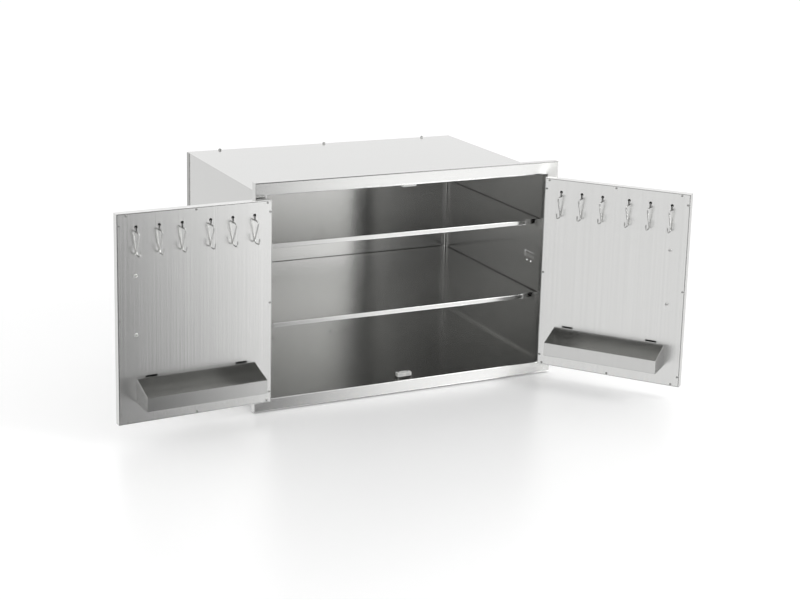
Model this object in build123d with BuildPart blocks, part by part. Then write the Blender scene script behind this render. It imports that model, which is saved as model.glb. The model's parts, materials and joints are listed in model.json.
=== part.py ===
"""Built-in double-door storage cabinet of folded stainless sheet, doors open, in millimetres."""

from build123d import *
import math
import os

os.makedirs("parts", exist_ok=True)

# Face frame
frame_width = 762.0
frame_height = 521.0
rail_width = 28.0
frame_return = 18.0
frame_sheet = 1.2
rail_lip = 3.0
stile_jamb = 22.0
frame_lift = 3.0

# Box behind the frame
box_depth = 528.0
box_sheet = 1.0
side_inset = 18.0
top_drop = 29.0
floor_rise = 24.0
panel_flange = 24.0
wall_flange = 10.0
rear_flange = 12.0
back_flange = 20.0
bend = 0.6
corner_bend = 6.0

# Runners that carry the box
runner_spacing = 197.0
runner_crown = 30.0
runner_flange = 12.0
runner_setback = 29.0
runner_sheet = 1.2

# Shelves and their clips
lower_shelf_top = 190.0
upper_shelf_top = 373.0
shelf_setback = 38.0
shelf_lip = 11.0
shelf_hem = 6.0
shelf_side_gap = 1.5
shelf_rear_gap = 3.0
notch_width = 38.5
notch_depth = 8.0
rear_notch = 10.0
clip_reach = 23.0
clip_block = 13.0
clip_drop = 11.0
clip_leg = 20.0
clip_sheet = 2.0
clip_width = 12.0
clip_front = 9.0
clip_rear = 50.0

# Fixing tab lanced in each side wall
tab_front = 64.0
tab_bottom = 267.0
tab_length = 42.0
tab_height = 15.0
tab_slit = 1.0
tab_lean = 1.0
tab_hole = 4.0
tab_hole_spacing = 18.0
tab_hole_drop = 8.0

# Doors
left_angle = 176.8
right_angle = 128.6
hinge_gap = 3.3
centre_gap = 2.4
door_gap = 4.0
door_depth = 20.0
door_sheet = 1.0
door_edge = 1.8
pan_flange = 12.0
pan_bend = 0.8
liner_inset = 1.5

# Liner screws
screw_inset = 5.2
screw_hinge_inset = 11.5
screw_catch_gap = 1.0
screw_head = 5.5
screw_head_height = 1.8
screw_shank = 3.0
screw_length = 7.0
screw_low_row = 24.5
screw_high_row = 25.5
head_rounding = 0.85

# Keyholes and hooks
hooks_per_side = 3
hook_offset = 31.8
hook_pitch = 50.4
keyhole_drop = 30.4
keyhole_width = 7.0
keyhole_slot = 4.2
keyhole_length = 10.0
wire = 3.2
hook_tail = 9.0
hook_shoulder = 23.0
hook_drop = 42.0
hook_depth = 49.0
hook_reach = 25.0
hook_tip = 13.0
tail_bend = 2.4
shoulder_bend = 5.0
touch_bend = 4.0
heel_bend = 4.8
prong_bend = 8.0

# Trays and their slots
slot_length = 26.0
slot_height = 5.0
slot_rise = 101.0
slot_offset = 102.0
tray_length = 270.0
tray_depth = 67.0
tray_back = 52.0
tray_front = 31.0
tray_sheet = 1.0
tab_grip = 8.0
tab_side_play = 1.0

# Handles
handle_inset = 39.8
handle_above_middle = 30.5
handle_spacing = 128.0
handle_length = 172.0
handle_bar = 12.0
handle_post = 10.0
handle_stand = 38.0
handle_bolt = 4.0
handle_bolt_head = 8.5
handle_bolt_head_height = 3.2
handle_thread = 10.0

# Hinges
hinge_stand = 4.0
hinge_barrel = 7.2
hinge_pin = 3.6
hinge_height = 51.0
hinge_inset = 70.0
leaf_sheet = 1.5
leaf_depth = 15.0
knuckle_gap = 0.3
pin_head = 1.0
hinge_screw_spacing = 32.0
hinge_screw_head = 6.0
hinge_screw_shank = 3.2
hinge_screw_length = 6.0

# Magnetic catches
catch_width = 34.5
catch_height = 8.0
catch_depth = 14.0
catch_gap = 0.5
riser_height = 5.7
riser_sheet = 1.2
magnet_width = 11.0
magnet_height = 4.6
magnet_depth = 6.0
magnet_spacing = 18.0
catch_screw = 3.0
catch_screw_head = 5.5
catch_screw_head_height = 1.6
catch_screw_spacing = 24.0
catch_screw_setback = 10.2
catch_screw_tail = 4.0

# Bolts along the top panel's rear edge
rear_bolt_spacing = 280.0
rear_bolt_inset = 6.0
rear_bolt = 4.0
rear_bolt_head = 7.0
rear_bolt_head_height = 2.8
rear_nut = 7.0
rear_nut_height = 3.2
rear_thread = 1.3

# Rivets through the floor
rivet_head = 7.0
rivet_head_height = 1.4
rivet_shank = 3.2
rivet_tail = 3.0
rivet_inset = 113.0

# Clearances
running = 0.3
hole_play = 0.1

# Planes and faces worked out from the sizes above
face_y = -box_depth / 2
back_y = box_depth / 2
frame_top = frame_lift + frame_height
opening_half = frame_width / 2 - rail_width
opening_bottom = frame_lift + rail_width
opening_top = frame_top - rail_width
wall_x = frame_width / 2 - side_inset - box_sheet
wall_outer_x = wall_x + box_sheet
top_z = frame_top - top_drop
ceiling_z = top_z - box_sheet
floor_z = frame_lift + floor_rise
floor_under = floor_z - box_sheet
lip_y = face_y + rail_lip
behind_face_y = face_y + frame_sheet
inner_back_y = back_y - box_sheet
rear_flange_y = inner_back_y - box_sheet
door_width = opening_half - hinge_gap - centre_gap / 2
door_bottom = opening_bottom + door_gap
door_height = opening_top - opening_bottom - 2 * door_gap
pan_depth = door_depth - door_sheet
hinge_x = opening_half - hinge_gap / 2
hinge_y = face_y - hinge_stand
keyhole_z = door_height - keyhole_drop
slot_floor = keyhole_z - keyhole_length - keyhole_slot / 2
hinge_levels = (hinge_inset, door_height - hinge_inset)
runner_length = box_depth - 2 * runner_setback
runner_xs = (-runner_spacing, 0.0, runner_spacing)
rivet_rows = (rivet_inset, box_depth - rivet_inset)
shelf_tops = {"lower": lower_shelf_top, "upper": upper_shelf_top}
handle_rise = door_height / 2 + handle_above_middle
screw_free_inset = (catch_width + screw_head - centre_gap) / 2 + screw_catch_gap
rear_bolt_xs = (-rear_bolt_spacing, 0.0, rear_bolt_spacing)
catch_front_y = face_y + door_depth + catch_gap
catch_screw_y = catch_front_y + catch_screw_setback
catch_screw_xs = (-catch_screw_spacing / 2, catch_screw_spacing / 2)
UP = Vector(0, 0, 1)


def save(piece, name):
    """Label a finished piece and write it."""
    piece.part.label = name
    export_step(piece.part, f"parts/{name}.step")


def folded(points, sheet, inside=None):
    """Fill the open sketch with folded sheet lying to the left of a line through the points."""
    radii = []
    inside = inside or [bend] * (len(points) - 2)
    for before, corner, after, radius in zip(points, points[1:], points[2:], inside):
        step_in = (corner[0] - before[0], corner[1] - before[1])
        step_out = (after[0] - corner[0], after[1] - corner[1])
        left_turn = step_in[0] * step_out[1] - step_in[1] * step_out[0] > 0
        radii.append(radius + sheet if left_turn else radius)
    with BuildLine() as outline:
        FilletPolyline(*points, radius=radii)
        offset(amount=sheet, side=Side.LEFT)
    make_face(outline.edges())


def screw_profile(head, head_height, shank, length):
    """Half outline of a round-headed screw, seat at the origin, head above and shank below."""
    with BuildLine() as outline:
        crown = FilletPolyline(
            (0, head_height),
            (head / 2, head_height),
            (head / 2, 0),
            (shank / 2, 0),
            (shank / 2, -length),
            (0, -length),
            radius=[min(head_height, head / 2) * head_rounding, 0, 0, 0],
        )
        Line(crown @ 1, crown @ 0)
    make_face(outline.edges())


# Top and bottom rails, mitred at both ends
for rail_name, outer_z, inward in (("top", frame_top, -1), ("bottom", frame_lift, 1)):
    inner_z = outer_z + inward * rail_width
    section = [
        (face_y + frame_return, outer_z),
        (face_y, outer_z),
        (face_y, inner_z),
        (lip_y, inner_z),
    ]
    if inward > 0:
        section.reverse()
    with BuildPart() as rail:
        with BuildSketch(Plane.YZ.offset(-frame_width / 2)):
            folded(section, frame_sheet)
        extrude(amount=frame_width)
        with BuildSketch(Plane.XZ.offset(-face_y)):
            for end in (-1, 1):
                with BuildLine() as mitre:
                    Polyline(
                        (end * frame_width / 2, outer_z),
                        (end * opening_half, inner_z),
                        (end * frame_width / 2, inner_z),
                        close=True,
                    )
                make_face(mitre.edges())
        extrude(amount=-frame_return, mode=Mode.SUBTRACT)
    save(rail, f"frame_{rail_name}_rail")

# Left and right stiles, with a deep jamb for the hinges, cut back under the top panel
for side, hand in (("left", -1), ("right", 1)):
    outer_x = hand * frame_width / 2
    inner_x = hand * opening_half
    section = [
        (inner_x, face_y + stile_jamb),
        (inner_x, face_y),
        (outer_x, face_y),
        (outer_x, face_y + frame_return),
    ]
    if hand < 0:
        section.reverse()
    with BuildPart() as stile:
        with BuildSketch(Plane.XY.offset(frame_lift)):
            folded(section, frame_sheet)
        extrude(amount=frame_height)
        with BuildSketch(Plane.XZ.offset(-face_y)):
            for outer_z, inner_z in ((frame_lift, opening_bottom), (frame_top, opening_top)):
                with BuildLine() as mitre:
                    Polyline((outer_x, outer_z), (inner_x, inner_z), (inner_x, outer_z), close=True)
                make_face(mitre.edges())
        extrude(amount=-stile_jamb, mode=Mode.SUBTRACT)
        with BuildSketch(Plane.XY.offset(ceiling_z)):
            with Locations((inner_x, lip_y)):
                Rectangle(rail_width, stile_jamb, align=(Align.CENTER, Align.MIN))
        extrude(amount=rail_width, mode=Mode.SUBTRACT)
        with BuildSketch(Plane.YZ):
            for level in hinge_levels:
                for step in (-0.5, 0.5):
                    with Locations(
                        (
                            face_y + leaf_depth / 2,
                            door_bottom + level + step * hinge_screw_spacing,
                        )
                    ):
                        Circle(hinge_screw_shank / 2 + hole_play)
        extrude(amount=hand * frame_width / 2 - hand * rail_width / 2, mode=Mode.SUBTRACT)
    save(stile, f"frame_{side}_stile")

# Top panel, turned up behind the top rail
with BuildPart() as top_panel:
    with BuildSketch(Plane.YZ.offset(-wall_outer_x)):
        folded(
            [(lip_y, ceiling_z + panel_flange), (lip_y, ceiling_z), (back_y, ceiling_z)],
            box_sheet,
        )
    extrude(amount=2 * wall_outer_x)
    with BuildSketch(Plane.XY.offset(ceiling_z)):
        with Locations(*[(x, back_y - rear_bolt_inset) for x in rear_bolt_xs]):
            Circle(rear_bolt / 2 + hole_play)
        with Locations(*[(x, catch_screw_y) for x in catch_screw_xs]):
            Circle(catch_screw / 2 + hole_play)
    extrude(amount=box_sheet, mode=Mode.SUBTRACT)
save(top_panel, "top_panel")

# Places of the floor rivets, one to each flange, the centre runner riveted at the rear only
rivet_places = []
for runner_x in runner_xs:
    outward = 1 if runner_x >= 0 else -1
    outer_row = rivet_rows[0] if runner_x else rivet_rows[1]
    for step, row in ((outward, outer_row), (-outward, rivet_rows[1])):
        rivet_places.append((runner_x + step * (runner_crown + runner_flange) / 2, face_y + row))

# Floor panel, turned down behind the bottom rail
with BuildPart() as floor_panel:
    with BuildSketch(Plane.YZ.offset(-wall_outer_x)):
        folded(
            [
                (inner_back_y - bend, floor_z),
                (behind_face_y, floor_z),
                (behind_face_y, frame_lift + frame_sheet + bend + running),
            ],
            box_sheet,
        )
    extrude(amount=2 * wall_outer_x)
    with BuildSketch(Plane.XY.offset(floor_under)):
        with Locations(*rivet_places):
            Circle(rivet_shank / 2 + hole_play)
        with Locations(*[(x, catch_screw_y) for x in catch_screw_xs]):
            Circle(catch_screw / 2 + hole_play)
    extrude(amount=box_sheet, mode=Mode.SUBTRACT)
save(floor_panel, "floor_panel")

# Side panels: front edge turned out behind the stile, the other edges turned in
for side, hand in (("left", -1), ("right", 1)):
    section = [
        (hand * (wall_x - rear_flange), rear_flange_y),
        (hand * wall_x, rear_flange_y),
        (hand * wall_x, behind_face_y),
        (hand * (frame_width / 2 - frame_sheet - bend - running), behind_face_y),
    ]
    inside = [corner_bend, bend]
    if hand < 0:
        section.reverse()
        inside.reverse()
    flange_y = face_y + stile_jamb + running
    tab_y = face_y + tab_front
    tab_z = frame_lift + tab_bottom
    with BuildPart() as side_panel:
        with BuildSketch(Plane.XY.offset(floor_z)):
            folded(section, box_sheet, inside)
        extrude(amount=ceiling_z - floor_z)
        for flange_z in (floor_z, ceiling_z - box_sheet):
            with BuildSketch(Plane.XY.offset(flange_z)):
                with Locations((hand * wall_x, flange_y)):
                    Rectangle(
                        wall_flange,
                        rear_flange_y - corner_bend - flange_y,
                        align=(Align.MIN if hand < 0 else Align.MAX, Align.MIN),
                    )
            extrude(amount=box_sheet)
        with BuildSketch(Plane.YZ.offset(hand * wall_x)):
            with Locations((tab_y, tab_z)):
                Rectangle(tab_length, tab_height, align=(Align.MIN, Align.MIN))
            with Locations((tab_y + tab_length / 2, tab_z - tab_hole_drop)):
                with GridLocations(tab_hole_spacing, 0, 2, 1):
                    Circle(tab_hole / 2)
        extrude(amount=hand * box_sheet, mode=Mode.SUBTRACT)
        with BuildSketch(Plane.XZ.offset(-tab_y - tab_slit)):
            with BuildLine() as leaning:
                Polyline(
                    (hand * wall_x, tab_z),
                    (hand * wall_outer_x, tab_z),
                    (hand * (wall_outer_x + tab_lean), tab_z + tab_height - tab_slit),
                    (hand * (wall_x + tab_lean), tab_z + tab_height - tab_slit),
                    close=True,
                )
            make_face(leaning.edges())
        extrude(amount=2 * tab_slit - tab_length)
    save(side_panel, f"{side}_side_panel")

# Back panel, its edges wrapped round the sides and turned in under the top and floor
back_half = wall_outer_x + box_sheet
turned_half = wall_x - 2 * wall_flange
with BuildPart() as back_panel:
    with BuildSketch(Plane.XY.offset(floor_under - box_sheet)):
        folded(
            [
                (back_half, back_y - back_flange),
                (back_half, back_y),
                (-back_half, back_y),
                (-back_half, back_y - back_flange),
            ],
            box_sheet,
        )
    extrude(amount=ceiling_z - floor_under + box_sheet)
    for flange_z in (floor_under - box_sheet, ceiling_z - box_sheet):
        with BuildSketch(Plane.XY.offset(flange_z)):
            with Locations((0, inner_back_y)):
                Rectangle(2 * turned_half, back_flange - box_sheet, align=(Align.CENTER, Align.MAX))
        extrude(amount=box_sheet)
    with BuildSketch(Plane.XY.offset(ceiling_z - box_sheet)):
        with Locations(*[(x, back_y - rear_bolt_inset) for x in rear_bolt_xs]):
            Circle(rear_bolt / 2 + hole_play)
    extrude(amount=box_sheet, mode=Mode.SUBTRACT)
save(back_panel, "back_panel")

# Runners, hat sections standing on their crowns
for runner_name, runner_x in zip(("left", "centre", "right"), runner_xs):
    half_crown = runner_crown / 2
    section = [
        (runner_x + half_crown + runner_flange, floor_under - runner_sheet),
        (runner_x + half_crown, floor_under - runner_sheet),
        (runner_x + half_crown, 0),
        (runner_x - half_crown, 0),
        (runner_x - half_crown, floor_under - runner_sheet),
        (runner_x - half_crown - runner_flange, floor_under - runner_sheet),
    ]
    section.reverse()
    with BuildPart() as runner:
        with BuildSketch(Plane.XZ.offset(-runner_length / 2)):
            folded(section, runner_sheet)
        extrude(amount=runner_length)
        with BuildSketch(Plane.XY.offset(floor_under - runner_sheet)):
            with Locations(*[place for place in rivet_places if abs(place[0] - runner_x) < runner_crown]):
                Circle(rivet_shank / 2 + hole_play)
        extrude(amount=runner_sheet, mode=Mode.SUBTRACT)
    save(runner, f"{runner_name}_runner")

# Rivets that hold the floor to the runners
with BuildPart() as floor_rivets:
    for rivet_x, rivet_y in rivet_places:
        rivet_plane = Plane(origin=(rivet_x, rivet_y, floor_z), x_dir=(1, 0, 0), z_dir=(0, -1, 0))
        with BuildSketch(rivet_plane):
            screw_profile(rivet_head, rivet_head_height, rivet_shank, box_sheet + runner_sheet + rivet_tail)
        revolve(axis=Axis((rivet_x, rivet_y, floor_z), (0, 0, 1)))
save(floor_rivets, "floor_rivets")

# Shelves with a hemmed front lip, a rear lip and notched corners
shelf_half = wall_x - shelf_side_gap
shelf_front_y = face_y + shelf_setback
shelf_back_y = inner_back_y - shelf_rear_gap
for shelf_name, height in shelf_tops.items():
    shelf_z = frame_lift + height
    with BuildPart() as shelf:
        with BuildSketch(Plane.YZ.offset(-shelf_half)):
            folded(
                [
                    (shelf_back_y, shelf_z - shelf_lip),
                    (shelf_back_y, shelf_z),
                    (shelf_front_y, shelf_z),
                    (shelf_front_y, shelf_z - shelf_lip),
                    (shelf_front_y + shelf_hem, shelf_z - shelf_lip),
                ],
                box_sheet,
            )
        extrude(amount=2 * shelf_half)
        with BuildSketch(Plane.XY.offset(shelf_z)):
            for end in (-1, 1):
                along = Align.MIN if end < 0 else Align.MAX
                with Locations((end * shelf_half, shelf_front_y)):
                    Rectangle(notch_width, notch_depth, align=(along, Align.MIN))
                with Locations((end * shelf_half, shelf_back_y)):
                    Rectangle(rear_notch, rear_notch, align=(along, Align.MAX))
        extrude(amount=-shelf_lip, mode=Mode.SUBTRACT)
    save(shelf, f"{shelf_name}_shelf")

# Clips that carry the shelves, four to each shelf
clip_ys = (
    shelf_front_y + clip_front,
    shelf_back_y - clip_rear - clip_width,
)
with BuildPart() as shelf_clips:
    for height in shelf_tops.values():
        clip_z = frame_lift + height - box_sheet
        for clip_y in clip_ys:
            with BuildSketch(Plane.XZ.offset(-clip_y)):
                for hand in (-1, 1):
                    reach_x = hand * (wall_x - clip_reach)
                    block_x = hand * (wall_x - clip_reach + clip_block)
                    leg_x = hand * (wall_x - clip_sheet)
                    with BuildLine() as outline:
                        Polyline(
                            (hand * wall_x, clip_z),
                            (reach_x, clip_z),
                            (reach_x, clip_z - clip_drop),
                            (block_x, clip_z - clip_drop),
                            (block_x, clip_z - 2 * clip_sheet),
                            (leg_x, clip_z - 2 * clip_sheet),
                            (leg_x, clip_z - clip_leg),
                            (hand * wall_x, clip_z - clip_leg),
                            close=True,
                        )
                    make_face(outline.edges())
            extrude(amount=-clip_width)
save(shelf_clips, "shelf_clips")

# Bolts and nuts along the top panel's rear edge
bolt_seat = ceiling_z - box_sheet
with BuildPart() as rear_bolts:
    for bolt_x in rear_bolt_xs:
        with BuildSketch(Plane.XY.offset(bolt_seat)):
            with Locations((bolt_x, back_y - rear_bolt_inset)):
                RegularPolygon(rear_bolt_head / 2, 6, major_radius=False)
        extrude(amount=-rear_bolt_head_height)
        with BuildSketch(Plane.XY.offset(bolt_seat)):
            with Locations((bolt_x, back_y - rear_bolt_inset)):
                Circle(rear_bolt / 2)
        extrude(amount=2 * box_sheet + rear_nut_height + rear_thread)
save(rear_bolts, "rear_bolts")

with BuildPart() as rear_nuts:
    for bolt_x in rear_bolt_xs:
        with BuildSketch(Plane.XY.offset(top_z)):
            with Locations((bolt_x, back_y - rear_bolt_inset)):
                RegularPolygon(rear_nut / 2, 6, major_radius=False)
                Circle(rear_bolt / 2 + hole_play, mode=Mode.SUBTRACT)
        extrude(amount=rear_nut_height)
save(rear_nuts, "rear_nuts")

# Magnetic catches: the upper hangs from the top panel, the lower stands on a riser
catch_mid_y = catch_front_y + catch_depth / 2
riser_top = floor_z + riser_height
catch_bases = {"upper": (ceiling_z, -1), "lower": (riser_top, 1)}
magnet_xs = (-magnet_spacing / 2, magnet_spacing / 2)
for catch_name, (base_z, away) in catch_bases.items():
    with BuildPart() as catch:
        with BuildSketch(Plane.XY.offset(base_z)):
            with Locations((0, catch_mid_y)):
                RectangleRounded(catch_width, catch_depth, bend)
        extrude(amount=away * catch_height)
        with BuildSketch(Plane.XZ.offset(-catch_front_y)):
            with Locations(*[(x, base_z + away * catch_height / 2) for x in magnet_xs]):
                Rectangle(magnet_width, magnet_height)
        extrude(amount=-magnet_depth, mode=Mode.SUBTRACT)
        with BuildSketch(Plane.XY.offset(base_z)):
            with Locations(*[(x, catch_screw_y) for x in catch_screw_xs]):
                Circle(catch_screw / 2 + hole_play)
        extrude(amount=away * catch_height, mode=Mode.SUBTRACT)
    save(catch, f"{catch_name}_catch")

with BuildPart() as catch_magnets:
    for base_z, away in catch_bases.values():
        with BuildSketch(Plane.XZ.offset(-catch_front_y)):
            with Locations(*[(x, base_z + away * catch_height / 2) for x in magnet_xs]):
                Rectangle(magnet_width, magnet_height)
        extrude(amount=-magnet_depth)
save(catch_magnets, "catch_magnets")

with BuildPart() as catch_riser:
    with BuildSketch(Plane.XZ.offset(-catch_front_y - catch_depth)):
        folded(
            [
                (-catch_width / 2, floor_z),
                (-catch_width / 2, riser_top),
                (catch_width / 2, riser_top),
                (catch_width / 2, floor_z),
            ][::-1],
            riser_sheet,
        )
    extrude(amount=catch_depth)
    with BuildSketch(Plane.XY.offset(riser_top)):
        with Locations(*[(x, catch_screw_y) for x in catch_screw_xs]):
            Circle(catch_screw / 2 + hole_play)
    extrude(amount=-riser_height, mode=Mode.SUBTRACT)
save(catch_riser, "lower_catch_riser")

with BuildPart() as catch_screws:
    for base_z, away in catch_bases.values():
        grip = catch_height + (riser_height if away > 0 else 0) + box_sheet
        head_z = base_z + away * catch_height
        for screw_x in catch_screw_xs:
            seat_plane = Plane(
                origin=(screw_x, catch_screw_y, head_z), x_dir=(away, 0, 0), z_dir=(0, -1, 0)
            )
            with BuildSketch(seat_plane):
                screw_profile(catch_screw_head, catch_screw_head_height, catch_screw, grip + catch_screw_tail)
            revolve(axis=Axis((screw_x, catch_screw_y, head_z), (0, 0, 1)))
save(catch_screws, "catch_screws")

# Places on a door, measured from its hinge edge and its lower edge
screw_columns = (screw_hinge_inset, door_width / 2, door_width - screw_free_inset)
screw_rows = (screw_low_row, door_height / 2, door_height - screw_high_row)
screw_places = []
for column in screw_columns:
    screw_places += [(column, screw_inset), (column, door_height - screw_inset)]
for row in screw_rows:
    screw_places += [(screw_inset, row), (door_width - screw_inset, row)]
hook_places = []
for step in range(hooks_per_side):
    reach = hook_offset + step * hook_pitch
    hook_places += [door_width / 2 - reach, door_width / 2 + reach]
hook_places.sort()
slot_places = (door_width / 2 - slot_offset, door_width / 2 + slot_offset)
bolt_places = [
    (door_width - handle_inset, handle_rise - handle_spacing / 2),
    (door_width - handle_inset, handle_rise + handle_spacing / 2),
]
tray_start = (door_width - tray_length) / 2
knuckle = hinge_height / 3

for side, hand, angle in (("left", -1, left_angle), ("right", 1, right_angle)):
    turn = math.radians(angle)
    across = Vector(-hand * math.cos(turn), -math.sin(turn), 0)
    inward = Vector(-hand * math.sin(turn), math.cos(turn), 0)
    pivot = Vector(hand * hinge_x, hinge_y, door_bottom)
    corner = pivot + across * (hinge_gap / 2) + inward * hinge_stand
    edge_normal = inward.cross(UP)

    def face_plane(depth):
        """Plane parallel to the door, at a depth behind its outer skin."""
        return Plane(origin=corner + inward * depth, x_dir=across, z_dir=inward * hand)

    def end_plane(place):
        """Upright plane square to the door, its x axis pointing out of the liner."""
        return Plane(origin=corner + across * place + inward * door_depth, x_dir=inward, z_dir=edge_normal)

    # Outer pan with turned-in flanges for the liner
    with BuildPart() as skin:
        with BuildSketch(face_plane(0)):
            Rectangle(door_width, door_height, align=(Align.MIN, Align.MIN))
        extrude(amount=hand * pan_depth)
        outer_face = skin.faces().sort_by(Axis(corner, inward))[0]
        fillet(outer_face.edges(), door_edge)
        inner_face = skin.faces().sort_by(Axis(corner, inward))[-1]
        offset(amount=-door_sheet, openings=inner_face)
        with BuildSketch(face_plane(pan_depth - door_sheet)):
            with Locations((door_sheet, door_sheet)):
                Rectangle(
                    door_width - 2 * door_sheet,
                    door_height - 2 * door_sheet,
                    align=(Align.MIN, Align.MIN),
                )
            with Locations((pan_flange, pan_flange)):
                Rectangle(
                    door_width - 2 * pan_flange,
                    door_height - 2 * pan_flange,
                    align=(Align.MIN, Align.MIN),
                    mode=Mode.SUBTRACT,
                )
        extrude(amount=hand * door_sheet)
        rear_face = skin.faces().sort_by(Axis(corner, inward))[-1]
        fillet(rear_face.outer_wire().edges(), pan_bend)
        with BuildSketch(face_plane(pan_depth - door_sheet)):
            with Locations(*screw_places):
                Circle(screw_shank / 2 + hole_play)
        extrude(amount=hand * door_sheet, mode=Mode.SUBTRACT)
        with BuildSketch(face_plane(0)):
            with Locations(*bolt_places):
                Circle(handle_bolt / 2 + hole_play)
        extrude(amount=hand * door_sheet, mode=Mode.SUBTRACT)
        for level in hinge_levels:
            for step in (-0.5, 0.5):
                hole_z = level + step * hinge_screw_spacing
                hole_at = corner + inward * (leaf_depth / 2) + UP * hole_z
                with BuildSketch(Plane(origin=hole_at, x_dir=inward, z_dir=across)):
                    Circle(hinge_screw_shank / 2 + hole_play)
                extrude(amount=door_sheet, mode=Mode.SUBTRACT)
    save(skin, f"{side}_door_skin")

    # Liner with keyholes, tray slots and screw holes
    with BuildPart() as liner:
        with BuildSketch(face_plane(pan_depth)):
            with Locations((liner_inset, liner_inset)):
                Rectangle(
                    door_width - 2 * liner_inset,
                    door_height - 2 * liner_inset,
                    align=(Align.MIN, Align.MIN),
                )
            for place in hook_places:
                with Locations((place, keyhole_z)):
                    Circle(keyhole_width / 2, mode=Mode.SUBTRACT)
                    Rectangle(
                        keyhole_slot,
                        keyhole_length,
                        align=(Align.CENTER, Align.MAX),
                        mode=Mode.SUBTRACT,
                    )
                with Locations((place, keyhole_z - keyhole_length)):
                    Circle(keyhole_slot / 2, mode=Mode.SUBTRACT)
            with Locations(*[(place, slot_rise) for place in slot_places]):
                Rectangle(slot_length, slot_height, mode=Mode.SUBTRACT)
            with Locations(*screw_places):
                Circle(screw_shank / 2 + hole_play, mode=Mode.SUBTRACT)
            with Locations(*bolt_places):
                Circle(handle_bolt / 2 + hole_play, mode=Mode.SUBTRACT)
        extrude(amount=hand * door_sheet)
    save(liner, f"{side}_door_liner")

    # Pan-head screws round the liner
    with BuildPart() as liner_screws:
        for place, height in screw_places:
            seat = corner + across * place + inward * door_depth + UP * height
            with BuildSketch(Plane(origin=seat, x_dir=across, z_dir=across.cross(inward))):
                screw_profile(screw_head, screw_head_height, screw_shank, screw_length)
            revolve(axis=Axis(seat, inward))
    save(liner_screws, f"{side}_liner_screws")

    # Bar handle on two posts
    with BuildPart() as handle:
        bar_at = corner + across * (door_width - handle_inset) - inward * handle_stand
        bar_foot = bar_at + UP * (handle_rise - handle_length / 2)
        with BuildSketch(Plane(origin=bar_foot, x_dir=across, z_dir=UP)):
            Circle(handle_bar / 2)
        extrude(amount=handle_length)
        fillet(handle.edges(), door_edge)
        with BuildSketch(face_plane(0)):
            with Locations(*bolt_places):
                Circle(handle_post / 2)
        extrude(amount=-hand * handle_stand)
        with BuildSketch(face_plane(0)):
            with Locations(*bolt_places):
                Circle(handle_bolt / 2 + hole_play)
        extrude(amount=-hand * (handle_thread + running), mode=Mode.SUBTRACT)
    save(handle, f"{side}_handle")

    # Bolts that hold the handle, headed on the liner
    with BuildPart() as handle_bolts:
        for place, height in bolt_places:
            seat = corner + across * place + inward * door_depth + UP * height
            with BuildSketch(Plane(origin=seat, x_dir=across, z_dir=across.cross(inward))):
                screw_profile(
                    handle_bolt_head, handle_bolt_head_height, handle_bolt, door_depth + handle_thread
                )
            revolve(axis=Axis(seat, inward))
    save(handle_bolts, f"{side}_handle_bolts")

    # Bent-wire hooks, each hung in its keyhole
    hook_floor = slot_floor + wire / 2 + running
    tail_out = -(door_sheet + running + wire / 2)
    touch_out = wire / 2 + running
    for number, place in enumerate(hook_places, start=1):
        hook_plane = end_plane(place)
        hook_plane.origin = hook_plane.origin + UP * hook_floor
        with BuildPart() as hook:
            with BuildLine(hook_plane) as path:
                FilletPolyline(
                    (tail_out, hook_tail),
                    (tail_out, 0),
                    (hook_shoulder, 0),
                    (touch_out, -hook_drop),
                    (touch_out + wire, -hook_depth),
                    (touch_out + hook_reach - wire / 2, -hook_depth),
                    (touch_out + hook_reach, hook_tip - hook_depth),
                    radius=[tail_bend, shoulder_bend, touch_bend, heel_bend, prong_bend],
                )
            with BuildSketch(Plane(origin=path.line @ 0, z_dir=path.line % 0)):
                Circle(wire / 2)
            sweep(path=path.line)
        save(hook, f"{side}_hook_{number}")

    # Folded tray hung by two tabs
    tray_base = slot_rise - slot_height / 2 - tray_back - tray_sheet / 2
    tab_low = slot_rise - slot_height / 2 + running
    tab_back = -(door_sheet + running)
    tray_plane = end_plane(tray_start)
    tray_plane.origin = tray_plane.origin + UP * tray_base
    tab_rise = tab_low - tray_base
    along = -hand
    with BuildPart() as tray:
        with BuildSketch(tray_plane):
            folded(
                [
                    (running, tray_back),
                    (running, 0),
                    (running + tray_depth, 0),
                    (running + tray_depth, tray_front),
                ],
                tray_sheet,
            )
        extrude(amount=along * tray_length)
        for end in (0, tray_length - tray_sheet):
            with BuildSketch(tray_plane.offset(along * end)):
                with BuildLine() as end_outline:
                    Polyline(
                        (running, bend),
                        (running + tray_depth, bend),
                        (running + tray_depth, tray_front),
                        (running, tray_back),
                        close=True,
                    )
                make_face(end_outline.edges())
            extrude(amount=along * tray_sheet)
        for slot_place in slot_places:
            tab_start = slot_place - tray_start - slot_length / 2 + tab_side_play
            with BuildSketch(tray_plane.offset(along * tab_start)):
                with BuildLine() as tab_outline:
                    Polyline(
                        (running, tray_back - tray_sheet),
                        (running, tab_rise),
                        (tab_back, tab_rise),
                        (tab_back, tab_rise - tab_grip),
                        (tab_back - tray_sheet, tab_rise - tab_grip),
                        (tab_back - tray_sheet, tab_rise + tray_sheet),
                        (running + tray_sheet, tab_rise + tray_sheet),
                        (running + tray_sheet, tray_back - tray_sheet),
                        close=True,
                    )
                make_face(tab_outline.edges())
            extrude(amount=along * (slot_length - 2 * tab_side_play))
    save(tray, f"{side}_tray")

    # Hinges: frame leaves with end knuckles, door leaves with a middle knuckle, pins
    leaf_near = hinge_gap / 2 - leaf_sheet
    barrel_clear = hinge_barrel / 2 + running
    leaf_end = hinge_stand + leaf_depth
    frame_across = Vector(-hand, 0, 0)

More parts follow.
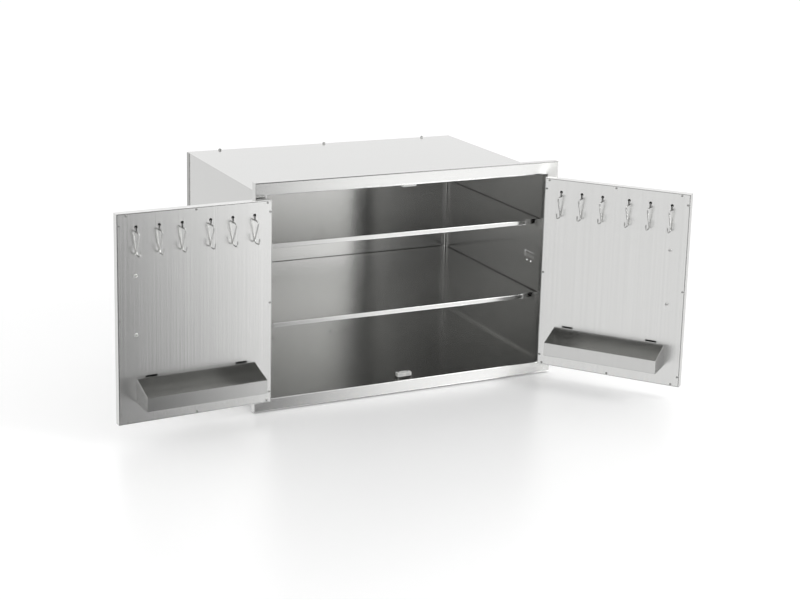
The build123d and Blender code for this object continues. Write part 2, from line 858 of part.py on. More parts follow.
    def leaf_piece(direction, outward, knuckles):
        """One leaf and its knuckles at each hinge level, seen from above along the pin."""
        for level in hinge_levels:
            low = pivot + UP * (level - hinge_height / 2)
            plate_x = outward * (leaf_near + leaf_sheet / 2)
            with BuildSketch(Plane(origin=low, x_dir=direction, z_dir=UP)) as plate:
                with Locations((plate_x, -hand * (barrel_clear + leaf_end) / 2)):
                    Rectangle(leaf_sheet, leaf_end - barrel_clear)
            extrude(plate.sketch, amount=hinge_height)
            for index in knuckles:
                start = index * knuckle + (knuckle_gap / 2 if index else 0)
                stop = (index + 1) * knuckle - (knuckle_gap / 2 if index < 2 else 0)
                with BuildSketch(Plane(origin=low + UP * start, x_dir=direction, z_dir=UP)) as eye:
                    Circle(hinge_barrel / 2)
                    with Locations((plate_x, -hand * barrel_clear / 2)):
                        Rectangle(leaf_sheet, barrel_clear)
                    Circle(hinge_pin / 2 + hole_play, mode=Mode.SUBTRACT)
                extrude(eye.sketch, amount=stop - start)

    def leaf_screw_planes(direction, outward, depth_direction):
        """Planes of the leaf screws, their y axes pointing out of the heads."""
        for level in hinge_levels:
            for step in (-0.5, 0.5):
                height = level + step * hinge_screw_spacing
                head_at = pivot + direction * (outward * leaf_near) + UP * height
                head_at = head_at + depth_direction * (hinge_stand + leaf_depth / 2)
                yield Plane(origin=head_at, x_dir=UP, z_dir=UP.cross(direction * -outward))

    def countersink():
        """Half outline of a flush screw, the middle of its head face at the origin."""
        with BuildLine() as outline:
            Polyline(
                (0, 0),
                (hinge_screw_head / 2, 0),
                (hinge_screw_shank / 2, -leaf_sheet),
                (hinge_screw_shank / 2, -hinge_screw_length),
                (0, -hinge_screw_length),
                close=True,
            )
        make_face(outline.edges())

    with BuildPart() as door_leaves:
        leaf_piece(across, 1, (1,))
        for screw_plane in leaf_screw_planes(across, 1, inward):
            with BuildSketch(screw_plane):
                countersink()
            revolve(axis=Axis(screw_plane.origin, screw_plane.y_dir), mode=Mode.SUBTRACT)
    save(door_leaves, f"{side}_hinge_door_leaves")

    with BuildPart() as door_leaf_screws:
        for screw_plane in leaf_screw_planes(across, 1, inward):
            with BuildSketch(screw_plane):
                countersink()
            revolve(axis=Axis(screw_plane.origin, screw_plane.y_dir))
    save(door_leaf_screws, f"{side}_hinge_door_screws")

    with BuildPart() as frame_leaves:
        leaf_piece(frame_across, -1, (0, 2))
        for screw_plane in leaf_screw_planes(frame_across, -1, Vector(0, 1, 0)):
            with BuildSketch(screw_plane):
                countersink()
            revolve(axis=Axis(screw_plane.origin, screw_plane.y_dir), mode=Mode.SUBTRACT)
    save(frame_leaves, f"{side}_hinge_frame_leaves")

    with BuildPart() as frame_leaf_screws:
        for screw_plane in leaf_screw_planes(frame_across, -1, Vector(0, 1, 0)):
            with BuildSketch(screw_plane):
                countersink()
            revolve(axis=Axis(screw_plane.origin, screw_plane.y_dir))
    save(frame_leaf_screws, f"{side}_hinge_frame_screws")

    with BuildPart() as pins:
        for level in hinge_levels:
            low = pivot + UP * (level - hinge_height / 2)
            with BuildSketch(Plane(origin=low, x_dir=(1, 0, 0), z_dir=UP)):
                Circle(hinge_pin / 2)
            extrude(amount=hinge_height)
            for end_z, away in ((0, -1), (hinge_height, 1)):
                with BuildSketch(Plane(origin=low + UP * end_z, x_dir=(1, 0, 0), z_dir=UP)):
                    Circle(hinge_barrel / 2)
                extrude(amount=away * pin_head)
    save(pins, f"{side}_hinge_pins")
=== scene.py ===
"""Looks of the built-in storage cabinet, in metres.

Steel finishes, detailed fasteners, the studio stage and the camera.
"""

import json
import math

import bmesh
import bpy
from mathutils import Matrix, Vector


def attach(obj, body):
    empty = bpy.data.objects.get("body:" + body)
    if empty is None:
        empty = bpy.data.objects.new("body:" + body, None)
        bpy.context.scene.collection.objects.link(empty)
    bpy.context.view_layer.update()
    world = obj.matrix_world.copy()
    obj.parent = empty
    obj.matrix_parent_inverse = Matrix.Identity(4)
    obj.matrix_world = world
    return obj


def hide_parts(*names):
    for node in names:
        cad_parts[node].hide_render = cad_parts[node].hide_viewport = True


# Camera, fitted to the photograph
CAMERA_PLACE = (-1.5069, -3.2819, 1.2204)
CAMERA_AZIMUTH = math.radians(25.998)
CAMERA_DIP = math.radians(11.984)
CAMERA_ROLL = math.radians(1.4375)
CAMERA_LENS = 68.66
CAMERA_SENSOR = 36.0
CAMERA_SHIFT = -0.15

# Stage: floor, world, card and lamp
FLOOR_HALF = 40.0
FLOOR_WHITE = 0.84
FLOOR_GLOSS = 0.36
FLOOR_INDEX = 2.5
FLOOR_GLOW = 0.20
FLOOR_MIRROR = 0.82
FLOOR_MIRROR_BLUR = 0.15
FLOOR_DULL = 0.25
WORLD_FILL = 0.90
CARD_Y = -4.0
CARD_X = (-3.2, 5.8)
CARD_Z = (0.0, 2.9)
CARD_FOOT = (0.0, 0.15)
CARD_HEAD = (1.9, 2.9)
CARD_DARK = 0.02
CARD_LIGHT = 1.47
CARD_EDGE = (0.34, 1.50)
CARD_LEAN = 0.35
CARD_FAR = 0.42
CARD_FAR_EDGE = (-2.5, -1.6)
STRIP_LIGHT = 0.9
STRIP_LEFT = (-1.56, -1.30)
STRIP_RIGHT = (-1.10, -0.95)
LAMP_PLACE = (2.4, -2.6, 2.6)
LAMP_SIZE = 1.6
LAMP_POWER = 40.0

# Doors, as the CAD has them open, and the painted shadow in the gap round their liners
OPEN_ANGLE = {"left": math.radians(176.8), "right": math.radians(128.6)}
HAND = {"left": -1, "right": 1}
HINGE = (0.35135, -0.268)
HINGE_PLAY = 0.00165
DOOR_WIDTH = 0.3485
DOOR_BOTTOM, DOOR_TOP = 0.035, 0.492
# Width and level of the painted shadow in the gap round each liner
LINER_SHADOW_BAND = (0.0019, 0.0026)
LINER_SHADOW_LEVEL = 0.35

# Brushed steel: noise by scale per metre and detail, and what it does to colour, gloss and relief
LINE_NOISE = (640.0, 4.0)
BAND_NOISE = (220.0, 2.0)
CLOUD_NOISE = (4.0, 3.0)
LINE_SHARE = 0.5
BAND_SHARE = 0.5
STREAK_RANGE = (0.3, 0.7)
LINE_GLOSS = 0.04
CLOUD_GLOSS = 0.06
GRAIN_DEPTH = 0.0004
GRAIN_STRETCH = 0.004
GRAIN_PULL = 0.5
GRAIN_TURN = 0.25
GRAIN_DIRECTION = {"x": (1, 0, 0), "y": (0, 1, 0), "z": (0, 0, 1)}
GRAIN_OF_NODE = {
    "top_panel": "x",
    "floor_panel": "x",
    "lower_shelf": "x",
    "upper_shelf": "x",
    "back_panel": "x",
    "frame_top_rail": "x",
    "frame_bottom_rail": "x",
    "left_side_panel": "y",
    "right_side_panel": "y",
}
# Colour, roughness, streak in the colour and strength of the relief
FINISH = {
    "box_steel": ((0.69, 0.69, 0.68), 0.15, 0.006, 0.02),
    "floor_steel": ((0.62, 0.62, 0.61), 0.22, 0.006, 0.02),
    "door_steel": ((0.80, 0.80, 0.79), 0.25, 0.012, 0.28),
    "tray_steel": ((0.66, 0.66, 0.65), 0.18, 0.010, 0.02),
    "frame_steel": ((0.73, 0.73, 0.72), 0.20, 0.008, 0.02),
}

# Dull mill finish of the back panel, beyond a half width and a depth
MILL_HALF, MILL_DEPTH = 0.3632, 0.2635
MILL_NOISE = (30.0, 5.0)
MILL_COLOURS = ((0.40, 0.40, 0.39), (0.46, 0.46, 0.45))
MILL_DULL = 0.18

# Painted light and shade: places where a sheet is painted darker or lighter; steps along the
# axes, X from the middle, and a factor
# Painted shadow along the joint of each shelf with the side walls
SHELF_EDGE_SHADOW = ((("X", 0.3564, 0.3582),), 0.18)
# Painted shade along the frame's top front bend, in place of its bright edge
FRAME_TOP_BEND_SHADE = ((("Z", 0.5214, 0.5223), ("Y", -0.2620, -0.2634)), 0.30)
# Painted shadow along the joint of the cabinet floor with the side walls
FLOOR_JOINT_SHADOW = ((("X", 0.3584, 0.3600),), 0.25)
# Painted light: the inner faces of the side walls are lighter than the outer faces
WALL_INSIDE_PAINTED_LIGHT = ((("X", 0.36265, 0.36245),), 1.22)
PAINTED_LIGHT_AND_SHADE = {
    "lower_shelf": SHELF_EDGE_SHADOW,
    "upper_shelf": SHELF_EDGE_SHADOW,
    "floor_panel": FLOOR_JOINT_SHADOW,
    "frame_top_rail": FRAME_TOP_BEND_SHADE,
    "left_side_panel": WALL_INSIDE_PAINTED_LIGHT,
    "right_side_panel": WALL_INSIDE_PAINTED_LIGHT,
}

# Small smooth pieces: colour, metal share and roughness
PLAIN = {
    "bright_steel": ((0.60, 0.60, 0.59), 1.0, 0.20),
    "handle_bolt": ((0.72, 0.72, 0.71), 1.0, 0.28),
    "fastener": ((0.50, 0.50, 0.49), 1.0, 0.24),
    "catch_body": ((0.80, 0.80, 0.78), 0.0, 0.45),
    "magnet": ((0.72, 0.72, 0.71), 1.0, 0.34),
}
PLAIN_NOISE = (260.0, 4.0)
PLAIN_SHADES = (0.9, 1.08)
PLAIN_GLOSS = 0.12
PLAIN_RELIEF = 0.1
PLAIN_DEPTH = 0.0001

# Fasteners, with shares of their radius, head, shank or length
SAME_POINT = 1e-6
SLIVER = 1e-5
WIDEST = 0.97
SMOOTH_ANGLE = math.radians(38)
TURNED_SEGMENTS = 40
FLUSH_HEAD = 2e-4
HEAD_STEPS = 11
HEAD_ROUND = 2.6
SCREW_PITCH = 0.0007
SCREW_ROOT = 0.8
RECESS_ARM, RECESS_ARM_FADE = 0.13, 0.07
RECESS_REACH, RECESS_REACH_FADE = 0.55, 0.10
RECESS_DEPTH = 0.55
RECESS_LEAST_HEAD = 0.0011
RIVET_HOLLOW = ((0.0, 0.42), (0.18, 0.42), (0.36, 0.50))
RIVET_DOME = (0.40, 0.46, 0.56, 0.68, 0.80, 0.90, 0.97)
RIVET_ROUND = 3.2
RIVET_TAIL = ((1.0, 0.70), (1.25, 0.82), (1.1, 1.0), (0.0, 1.0))
BOLT_SEGMENTS = 36
BOLT_PITCH = 0.0008
BOLT_ROWS_PER_PITCH = 8
BOLT_THREAD = 0.13
BOLT_CHAMFER_START = 0.78
BOLT_CHAMFER_END = 0.97


def add(tree, kind, inputs=None, **settings):
    """Add a node, set its options, and fill or link its inputs."""
    made = tree.nodes.new(kind)
    for key, value in settings.items():
        setattr(made, key, value)
    for key, value in (inputs or {}).items():
        if isinstance(value, bpy.types.NodeSocket):
            tree.links.new(value, made.inputs[key])
        else:
            made.inputs[key].default_value = value
    return made


def new_material(name):
    """An empty material and its node tree."""
    material = bpy.data.materials.new(name)
    material.use_nodes = True
    material.node_tree.nodes.clear()
    return material, material.node_tree


def show(tree, shader):
    """Make a shader the surface of its material."""
    add(tree, "ShaderNodeOutputMaterial", {"Surface": shader.outputs[0]})


def blend(tree, factor, first, second):
    """Blend of two shaders by a factor."""
    inputs = {0: factor, 1: first.outputs[0], 2: second.outputs[0]}
    return add(tree, "ShaderNodeMixShader", inputs)


def sums(tree, operation, *values):
    """One arithmetic step on numbers or sockets."""
    return add(tree, "ShaderNodeMath", dict(enumerate(values)), operation=operation).outputs[0]


def ramp(tree, value, low, high, start=0.0, end=1.0):
    """Smooth change from start to end as the value goes from low to high."""
    made = add(
        tree,
        "ShaderNodeMapRange",
        {"Value": value, "From Min": low, "From Max": high, "To Min": start, "To Max": end},
        interpolation_type="SMOOTHSTEP",
    )
    return made.outputs["Result"]


def tint(tree, factor, first, second):
    """Blend of two colours by a factor."""
    made = add(tree, "ShaderNodeMix", {0: factor}, data_type="RGBA")
    for name, value in (("A", first), ("B", second)):
        socket = next(s for s in made.inputs if s.name == name and s.type == "RGBA")
        if isinstance(value, bpy.types.NodeSocket):
            tree.links.new(value, socket)
        else:
            socket.default_value = (*value, 1.0)
    return next(s for s in made.outputs if s.type == "RGBA")


def scaled(colour, factor):
    """A colour made lighter or darker."""
    return tuple(min(1.0, c * factor) for c in colour)


def noise(tree, place, scale, detail):
    """Noise at a place, from 0 to 1."""
    inputs = {"Vector": place, "Scale": scale, "Detail": detail}
    return add(tree, "ShaderNodeTexNoise", inputs).outputs["Fac"]


def bump(tree, height, strength, depth):
    """Normal of a surface with relief."""
    inputs = {"Height": height, "Strength": strength, "Distance": depth}
    return add(tree, "ShaderNodeBump", inputs).outputs["Normal"]


def split(tree, place):
    """The three coordinates of a place."""
    return add(tree, "ShaderNodeSeparateXYZ", {"Vector": place}).outputs


def door_axes(side):
    """Directions across a door from its hinge and out of its liner, as the CAD has it open."""
    turn, hand = OPEN_ANGLE[side], HAND[side]
    across = Vector((-hand * math.cos(turn), -math.sin(turn), 0))
    inward = Vector((-hand * math.sin(turn), math.cos(turn), 0))
    return across, inward


def liner_shadow_share(tree, place, side):
    """Share of painted shadow in the gap round a door's liner, from the distance to the door's
    edge.
    """
    across, _ = door_axes(side)
    start = across.dot(Vector((HAND[side] * HINGE[0], HINGE[1], 0))) + HINGE_PLAY
    dot = add(tree, "ShaderNodeVectorMath", {0: place, 1: across}, operation="DOT_PRODUCT")
    along = dot.outputs["Value"]
    height = split(tree, place)["Z"]
    edge = sums(tree, "SUBTRACT", along, start)
    for distance in (
        sums(tree, "SUBTRACT", start + DOOR_WIDTH, along),
        sums(tree, "SUBTRACT", height, DOOR_BOTTOM),
        sums(tree, "SUBTRACT", DOOR_TOP, height),
    ):
        edge = sums(tree, "MINIMUM", edge, distance)
    return ramp(tree, edge, *LINER_SHADOW_BAND, start=1.0, end=0.0)


def painted_light_share(tree, place, steps):
    """Share of painted light and shade at a place, the product of its steps."""
    parts = split(tree, place)
    total = 1.0
    for axis, start, end in steps:
        value = sums(tree, "ABSOLUTE", parts[axis]) if axis == "X" else parts[axis]
        low, high = sorted((start, end))
        levels = (0.0, 1.0) if start < end else (1.0, 0.0)
        total = sums(tree, "MULTIPLY", total, ramp(tree, value, low, high, *levels))
    return total


def brushed(name, grain, white, roughness, streak, relief, mill=False, liner=None, shade=None):
    """Brushed sheet: fine lines and broader bands along the grain, in colour, gloss and relief.

    A sheet with a mill finish is dull and unbrushed beyond its mill limits. A liner, given as
    its door's side, gets a painted shadow in the gap round its edge. A shade is steps and a
    factor that paint light or shade on the sheet.
    """
    material, tree = new_material(name)
    place = add(tree, "ShaderNodeTexCoord").outputs["Object"]
    axis = GRAIN_DIRECTION[grain]
    stretch = [GRAIN_STRETCH if along else 1.0 for along in axis]
    stretched = add(tree, "ShaderNodeMapping", {"Vector": place, "Scale": stretch}).outputs[0]
    line = noise(tree, stretched, *LINE_NOISE)
    band = noise(tree, stretched, *BAND_NOISE)
    cloud = noise(tree, place, *CLOUD_NOISE)
    bands = sums(tree, "MULTIPLY", band, BAND_SHARE)
    mixed = sums(tree, "MULTIPLY_ADD", line, LINE_SHARE, bands)
    dark, light = scaled(white, 1 - 2 * streak), scaled(white, 1 + 2 * streak)
    colour = tint(tree, ramp(tree, mixed, *STREAK_RANGE), dark, light)
    least = roughness - (LINE_GLOSS + CLOUD_GLOSS) / 2
    gloss = sums(tree, "MULTIPLY_ADD", line, LINE_GLOSS, least)
    gloss = sums(tree, "MULTIPLY_ADD", cloud, CLOUD_GLOSS, gloss)
    if mill:
        parts = split(tree, place)
        beyond = sums(tree, "GREATER_THAN", sums(tree, "ABSOLUTE", parts["X"]), MILL_HALF)
        behind = sums(tree, "GREATER_THAN", parts["Y"], MILL_DEPTH)
        outside = sums(tree, "MAXIMUM", beyond, behind)
        dull = tint(tree, noise(tree, place, *MILL_NOISE), *MILL_COLOURS)
        colour = tint(tree, outside, colour, dull)
        gloss = sums(tree, "MULTIPLY_ADD", outside, MILL_DULL, gloss)
    # Painted shadow in the gap round the liner, darkest at the door's edge
    if liner:
        colour = tint(tree, liner_shadow_share(tree, place, liner), colour, scaled(white, LINER_SHADOW_LEVEL))
    # Painted light and shade: dark lines at joints and bends, lighter inner side walls
    if shade:
        steps, factor = shade
        colour = tint(tree, painted_light_share(tree, place, steps), colour, scaled(white, factor))
    tangent = add(tree, "ShaderNodeCombineXYZ", dict(enumerate(axis))).outputs[0]
    shader = add(
        tree,
        "ShaderNodeBsdfPrincipled",
        {
            "Base Color": colour,
            "Metallic": 1.0,
            "Roughness": gloss,
            "Anisotropic": GRAIN_PULL,
            "Anisotropic Rotation": GRAIN_TURN,
            "Tangent": tangent,
            "Normal": bump(tree, mixed, relief, GRAIN_DEPTH),
        },
    )
    show(tree, shader)
    return material


def plain(name, colour, metallic, roughness):
    """Small pieces: a smooth finish with a little cloud in colour, gloss and relief."""
    material, tree = new_material(name)
    place = add(tree, "ShaderNodeTexCoord").outputs["Object"]
    cloud = noise(tree, place, *PLAIN_NOISE)
    dark, light = (scaled(colour, factor) for factor in PLAIN_SHADES)
    least = roughness - PLAIN_GLOSS / 2
    shader = add(
        tree,
        "ShaderNodeBsdfPrincipled",
        {
            "Base Color": tint(tree, cloud, dark, light),
            "Metallic": metallic,
            "Roughness": sums(tree, "MULTIPLY_ADD", cloud, PLAIN_GLOSS, least),
            "Normal": bump(tree, cloud, PLAIN_RELIEF, PLAIN_DEPTH),
        },
    )
    show(tree, shader)
    return material


def islands(node):
    """Corner points of each separate solid in a CAD node."""
    shape = bmesh.new()
    shape.from_mesh(node.data)
    bmesh.ops.remove_doubles(shape, verts=shape.verts, dist=SAME_POINT)
    left = set(shape.verts)
    groups = []
    while left:
        front = [left.pop()]
        group = []
        while front:
            vertex = front.pop()
            group.append(vertex.co.copy())
            for edge in vertex.link_edges:
                other = edge.other_vert(vertex)
                if other in left:
                    left.remove(other)
                    front.append(other)
        groups.append(group)
    shape.free()
    return groups


def measure(points, axis):
    """Placing matrix, head radius and height, shank radius and length of one fastener.

    The seat under the head is at height 0, and the head is on the side of the axis.
    """
    side = axis.orthogonal().normalized()
    other = axis.cross(side)
    spans = [[p.dot(direction) for p in points] for direction in (side, other)]
    middle = [(min(span) + max(span)) / 2 for span in spans]
    heights = [p.dot(axis) for p in points]
    radii = [math.hypot(a - middle[0], b - middle[1]) for a, b in zip(*spans)]
    widest = max(radii)
    outer = [h for h, r in zip(heights, radii) if r > WIDEST * widest]
    if max(heights) - max(outer) > min(outer) - min(heights):
        return measure(points, -axis)
    seat = min(outer)
    end = min(heights)
    shank = max(r for h, r in zip(heights, radii) if h < end + SLIVER)
    place = Matrix((side, other, axis)).transposed().to_4x4()
    place.translation = side * middle[0] + other * middle[1] + axis * seat
    return place, widest, max(heights) - seat, shank, seat - end


def turned(shape, outline, place, carve=None):
    """Add a turned solid: rings of points down a half outline whose ends lie on the axis."""
    rings = []
    for radius, height in outline:
        count = TURNED_SEGMENTS if radius else 1
        ring = []
        for step in range(count):
            angle = 2 * math.pi * step / count
            x, y = radius * math.cos(angle), radius * math.sin(angle)
            drop = carve(x, y, height) if carve else 0.0
            ring.append(shape.verts.new(place @ Vector((x, y, height - drop))))
        rings.append(ring)
    for upper, lower in zip(rings, rings[1:]):
        for step in range(TURNED_SEGMENTS):
            after = (step + 1) % TURNED_SEGMENTS
            corners = [upper[step % len(upper)], lower[step % len(lower)]]
            corners += [lower[after % len(lower)], upper[after % len(upper)]]
            kept = list(dict.fromkeys(corners))
            if len(kept) > 2:
                shape.faces.new(kept)


def threaded(shank, top, end):
    """Outline of a threaded shank from its top down to a pointed end."""
    root = shank * SCREW_ROOT
    outline = []
    height = top
    while height > end + SCREW_PITCH:
        outline += [(shank, height), (root, height - SCREW_PITCH / 2)]
        height -= SCREW_PITCH
    return outline + [(root, end + SCREW_PITCH / 2), (0.0, end)]


def fade(value, start, length):
    """1 up to a start, and down to 0 over a length beyond it."""
    return 1 - min(1.0, max(0.0, (value - start) / length))


def cross_recess(radius, depth):
    """Depth of a cross-shaped driver recess at a place on a head."""

    def carve(x, y, height):
        if height <= 0:
            return 0.0
        near, far = sorted((abs(x), abs(y)))
        arm = fade(near / radius, RECESS_ARM, RECESS_ARM_FADE)
        reach = fade(far / radius, RECESS_REACH, RECESS_REACH_FADE)
        return depth * arm * reach

    return carve


def screw(shape, points, axis):
    """Round head with a cross recess, or a flush head, over a threaded shank."""
    place, radius, head, shank, length = measure(points, axis)
    flush = head < FLUSH_HEAD
    outline = []
    for step in range(HEAD_STEPS + 1):
        share = step / HEAD_STEPS
        crown = 0.0 if flush else head * math.sqrt(max(0.0, 1 - share**HEAD_ROUND))
        outline.append((radius * share, max(crown, SLIVER)))
    if not flush:
        outline.append((radius, 0.0))
    outline += threaded(shank, shank - radius if flush else 0.0, -length)
    depth = max(head, RECESS_LEAST_HEAD) * RECESS_DEPTH
    turned(shape, outline, place, carve=cross_recess(radius, depth))


def rivet(shape, points, axis):
    """Blind rivet: domed head round the hollow left by its mandrel."""
    place, radius, head, shank, length = measure(points, axis)
    outline = [(radius * across, head * up) for across, up in RIVET_HOLLOW]
    for share in RIVET_DOME:
        outline.append((radius * share, head * math.sqrt(1 - share**RIVET_ROUND)))
    outline += [(radius, 0.0), (shank, 0.0)]
    outline += [(shank * across, -length * down) for across, down in RIVET_TAIL]
    turned(shape, outline, place)


def ring_of(shape, place, height, radii):
    """Add one ring of points, with a radius for each."""
    ring = []
    for step, radius in enumerate(radii):
        angle = 2 * math.pi * step / len(radii)
        at = Vector((radius * math.cos(angle), radius * math.sin(angle), height))
        ring.append(shape.verts.new(place @ at))
    return ring


def skin(shape, rings):
    """Join rings from the lowest up, and close the lowest."""
    for lower, upper in zip(rings, rings[1:]):
        for step in range(len(lower)):
            after = (step + 1) % len(lower)
            shape.faces.new((lower[step], lower[after], upper[after], upper[step]))
    shape.faces.new(list(reversed(rings[0])))


def machine_bolt(shape, points, axis):
    """Hexagon bolt: a shank with a helical thread, and a chamfered head."""
    place, corner, head, shank, length = measure(points, axis)
    turns = [step / BOLT_SEGMENTS for step in range(BOLT_SEGMENTS)]
    count = int(length / BOLT_PITCH * BOLT_ROWS_PER_PITCH)
    rings = []
    for row in range(count + 1):
        height = -length + length * row / count
        phases = [(height / BOLT_PITCH - turn) % 1.0 for turn in turns]
        radii = [shank * (1 - BOLT_THREAD * abs(2 * phase - 1)) for phase in phases]
        rings.append(ring_of(shape, place, height, radii))
    skin(shape, rings)
    half_side = math.pi / 6
    flat = corner * math.cos(half_side)
    bends = [(2 * math.pi * turn + half_side) % (2 * half_side) - half_side for turn in turns]
    sides = [flat / math.cos(bend) for bend in bends]
    levels = (
        (corner, 0.0),
        (corner, head * BOLT_CHAMFER_START),
        (flat * BOLT_CHAMFER_END, head),
    )
    rings = []
    for limit, height in levels:
        rings.append(ring_of(shape, place, height, [min(side, limit) for side in sides]))
    skin(shape, rings)
    shape.faces.new(rings[-1])


def make_fasteners(frame, ready):
    """Stand detailed fasteners in the places of the plain CAD ones."""
    up = Vector((0, 0, 1))
    jobs = [
        ("floor_rivets", up, rivet),
        ("catch_screws", up, screw),
        ("rear_bolts", up, machine_bolt),
    ]
    for side in HAND:
        across, inward = door_axes(side)
        jobs += [
            (f"{side}_liner_screws", inward, screw),
            (f"{side}_handle_bolts", inward, screw),
            (f"{side}_hinge_door_screws", across, screw),
            (f"{side}_hinge_frame_screws", Vector((1, 0, 0)), screw),
        ]
    bodies = frame["record"]["behaviour"]["bodies"]
    riders = {name: body for body, names in bodies.items() for name in names}
    for node, axis, build in jobs:
        shape = bmesh.new()
        for points in islands(frame["nodes"][node]):
            build(shape, points, axis)
        bmesh.ops.recalc_face_normals(shape, faces=shape.faces)
        for face in shape.faces:
            face.smooth = True
        mesh = bpy.data.meshes.new(f"{node}_detail")
        shape.to_mesh(mesh)
        shape.free()
        mesh.set_sharp_from_angle(angle=SMOOTH_ANGLE)
        mesh.materials.append(ready["handle_bolt" if "handle" in node else "fastener"])
        piece = bpy.data.objects.new(f"{node}_detail", mesh)
        bpy.context.scene.collection.objects.link(piece)
        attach(piece, riders[node])
        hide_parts(node)


def stage_plane(name, corners, material):
    """A flat sheet of the studio, which isn't part of the object."""
    mesh = bpy.data.meshes.new(name)
    mesh.from_pydata(corners, [], [(0, 1, 2, 3)])
    mesh.materials.append(material)
    made = bpy.data.objects.new(name, mesh)
    bpy.context.scene.collection.objects.link(made)
    return made


def light_path(tree):
    """Kinds of ray, and 1 for a ray from the camera, straight or through something clear."""
    rays = add(tree, "ShaderNodeLightPath").outputs
    return rays, sums(tree, "MAXIMUM", rays["Is Camera Ray"], rays["Is Transmission Ray"])


def make_floor():
    """White glossy table top, which keeps the shadow and shows metal the studio beyond it."""
    material, tree = new_material("floor_white")
    rays, seen = light_path(tree)
    white = (FLOOR_WHITE, FLOOR_WHITE, FLOOR_WHITE, 1)
    top = add(
        tree,
        "ShaderNodeBsdfPrincipled",
        {"Base Color": white, "Roughness": FLOOR_GLOSS, "IOR": FLOOR_INDEX},
    )
    level = sums(tree, "MULTIPLY", seen, FLOOR_GLOW)
    glow = add(tree, "ShaderNodeEmission", {"Strength": level})
    lit = add(tree, "ShaderNodeAddShader", {0: top.outputs[0], 1: glow.outputs[0]})
    grey = (FLOOR_DULL, FLOOR_DULL, FLOOR_DULL, 1)
    dull = add(tree, "ShaderNodeBsdfDiffuse", {"Color": grey})
    clear = {"Color": (1, 1, 1, 1), "Roughness": FLOOR_MIRROR_BLUR}
    mirror = add(tree, "ShaderNodeBsdfGlossy", clear)
    mirrored = blend(tree, FLOOR_MIRROR, dull, mirror)
    show(tree, blend(tree, rays["Is Glossy Ray"], lit, mirrored))
    half = FLOOR_HALF
    stage_plane(
        "floor",
        [(-half, -half, 0), (half, -half, 0), (half, half, 0), (-half, half, 0)],
        material,
    )


def make_card():
    """Studio card in front, seen in metal only: dark at the left, light at the right."""
    material, tree = new_material("studio_card")
    parts = split(tree, add(tree, "ShaderNodeNewGeometry").outputs["Position"])
    x, z = parts["X"], parts["Z"]
    leaning = sums(tree, "MULTIPLY_ADD", z, -CARD_LEAN, x)
    near = ramp(tree, leaning, *CARD_EDGE, start=CARD_DARK, end=CARD_LIGHT)
    far = ramp(tree, x, *CARD_FAR_EDGE, start=CARD_FAR, end=0.0)
    strip = sums(
        tree,
        "MULTIPLY",
        ramp(tree, x, *STRIP_LEFT, end=STRIP_LIGHT),
        ramp(tree, x, *STRIP_RIGHT, start=1.0, end=0.0),
    )
    level = sums(tree, "ADD", sums(tree, "ADD", near, far), strip)
    glow = add(tree, "ShaderNodeEmission", {"Strength": level})
    foot = ramp(tree, z, *CARD_FOOT)
    head = ramp(tree, z, *CARD_HEAD, start=1.0, end=0.0)
    clear = add(tree, "ShaderNodeBsdfTransparent")
    show(tree, blend(tree, sums(tree, "MULTIPLY", foot, head), clear, glow))
    (left, right), (low, high) = CARD_X, CARD_Z
    card = stage_plane(
        "studio_card",
        [
            (left, CARD_Y, low),
            (right, CARD_Y, low),
            (right, CARD_Y, high),
            (left, CARD_Y, high),
        ],
        material,
    )
    card.visible_camera = False
    card.visible_diffuse = False
    card.visible_shadow = False
    card.visible_transmission = False


def make_world():
    """White studio all round, a little lower for light that isn't seen straight or in metal."""
    world = bpy.data.worlds.new("studio")
    bpy.context.scene.world = world
    world.use_nodes = True
    tree = world.node_tree
    tree.nodes.clear()
    rays, seen = light_path(tree)
    seen = sums(tree, "MAXIMUM", seen, rays["Is Glossy Ray"])
    level = sums(tree, "MULTIPLY_ADD", seen, 1.0 - WORLD_FILL, WORLD_FILL)
    sky = add(tree, "ShaderNodeBackground", {"Color": (1, 1, 1, 1), "Strength": level})
    add(tree, "ShaderNodeOutputWorld", {"Surface": sky.outputs[0]})


def make_lamp():
    """Large soft lamp high at the right, for the lights on wire, heads and rounded edges."""
    data = bpy.data.lights.new("soft_lamp", "AREA")
    data.shape = "DISK"
    data.size = LAMP_SIZE
    data.energy = LAMP_POWER
    lamp = bpy.data.objects.new("soft_lamp", data)
    bpy.context.scene.collection.objects.link(lamp)
    lamp.location = LAMP_PLACE
    lamp.rotation_euler = (-Vector(LAMP_PLACE)).to_track_quat("-Z", "Y").to_euler()


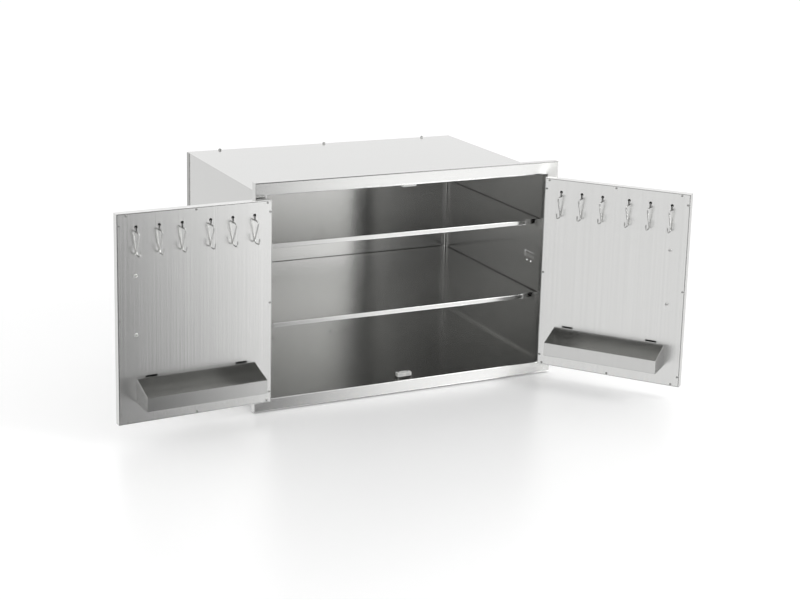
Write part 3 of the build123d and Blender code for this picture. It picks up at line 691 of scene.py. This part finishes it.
def make_camera():
    """Camera at the photograph's place, turned by azimuth, dip and roll."""
    data = bpy.data.cameras.new("camera")
    data.sensor_fit = "HORIZONTAL"
    data.sensor_width = CAMERA_SENSOR
    data.lens = CAMERA_LENS
    data.shift_y = CAMERA_SHIFT
    camera = bpy.data.objects.new("camera", data)
    bpy.context.scene.collection.objects.link(camera)
    forward = Vector(
        (
            math.sin(CAMERA_AZIMUTH) * math.cos(CAMERA_DIP),
            math.cos(CAMERA_AZIMUTH) * math.cos(CAMERA_DIP),
            -math.sin(CAMERA_DIP),
        )
    )
    level = Vector((math.cos(CAMERA_AZIMUTH), -math.sin(CAMERA_AZIMUTH), 0))
    raised = level.cross(forward)
    right = level * math.cos(CAMERA_ROLL) + raised * math.sin(CAMERA_ROLL)
    up = raised * math.cos(CAMERA_ROLL) - level * math.sin(CAMERA_ROLL)
    rotation = Matrix((right, up, -forward)).transposed()
    camera.matrix_world = Matrix.Translation(CAMERA_PLACE) @ rotation.to_4x4()
    bpy.context.scene.camera = camera


def sheet_steel(name, slot, ready):
    """Brushed material of a sheet, made once for all sheets that share it."""
    grain = GRAIN_OF_NODE.get(name, "z")
    liner = name.split("_")[0] if name.endswith("_liner") else None
    mill = name == "back_panel"
    key = f"{slot}_{grain}"
    # A sheet with painted light or shade, or a liner with its painted shadow, gets a material of
    # its own
    if name in PAINTED_LIGHT_AND_SHADE:
        key = f"{name}_steel"
    elif liner:
        key = f"{liner}_liner_shadowed_steel"
    elif mill:
        key = "back_steel"
    if key not in ready:
        extras = {"mill": mill, "liner": liner, "shade": PAINTED_LIGHT_AND_SHADE.get(name)}
        ready[key] = brushed(key, grain, *FINISH[slot], **extras)
    return ready[key]


def dress(frame):
    """Give every CAD node the material of its slot, and return the materials."""
    slots = {part["node"]: part["material_slot"] for part in frame["record"]["subparts"]}
    slots["floor_panel"] = "floor_steel"
    slots.update({f"{side}_tray": "tray_steel" for side in HAND})
    ready = {name: plain(name, *values) for name, values in PLAIN.items()}
    for name, node in frame["nodes"].items():
        slot = slots[name]
        material = sheet_steel(name, slot, ready) if slot in FINISH else ready[slot]
        node.data.materials.clear()
        node.data.materials.append(material)
    return ready


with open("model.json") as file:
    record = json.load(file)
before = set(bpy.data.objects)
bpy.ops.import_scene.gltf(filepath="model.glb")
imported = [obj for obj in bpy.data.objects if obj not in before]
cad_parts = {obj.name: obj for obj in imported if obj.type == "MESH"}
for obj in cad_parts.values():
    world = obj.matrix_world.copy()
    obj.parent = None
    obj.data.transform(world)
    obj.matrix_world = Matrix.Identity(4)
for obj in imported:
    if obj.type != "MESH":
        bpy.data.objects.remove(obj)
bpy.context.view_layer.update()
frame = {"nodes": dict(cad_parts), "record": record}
bpy.context.scene.view_settings.view_transform = "Standard"
make_fasteners(frame, dress(frame))
make_floor()
make_card()
make_world()
make_lamp()
make_camera()
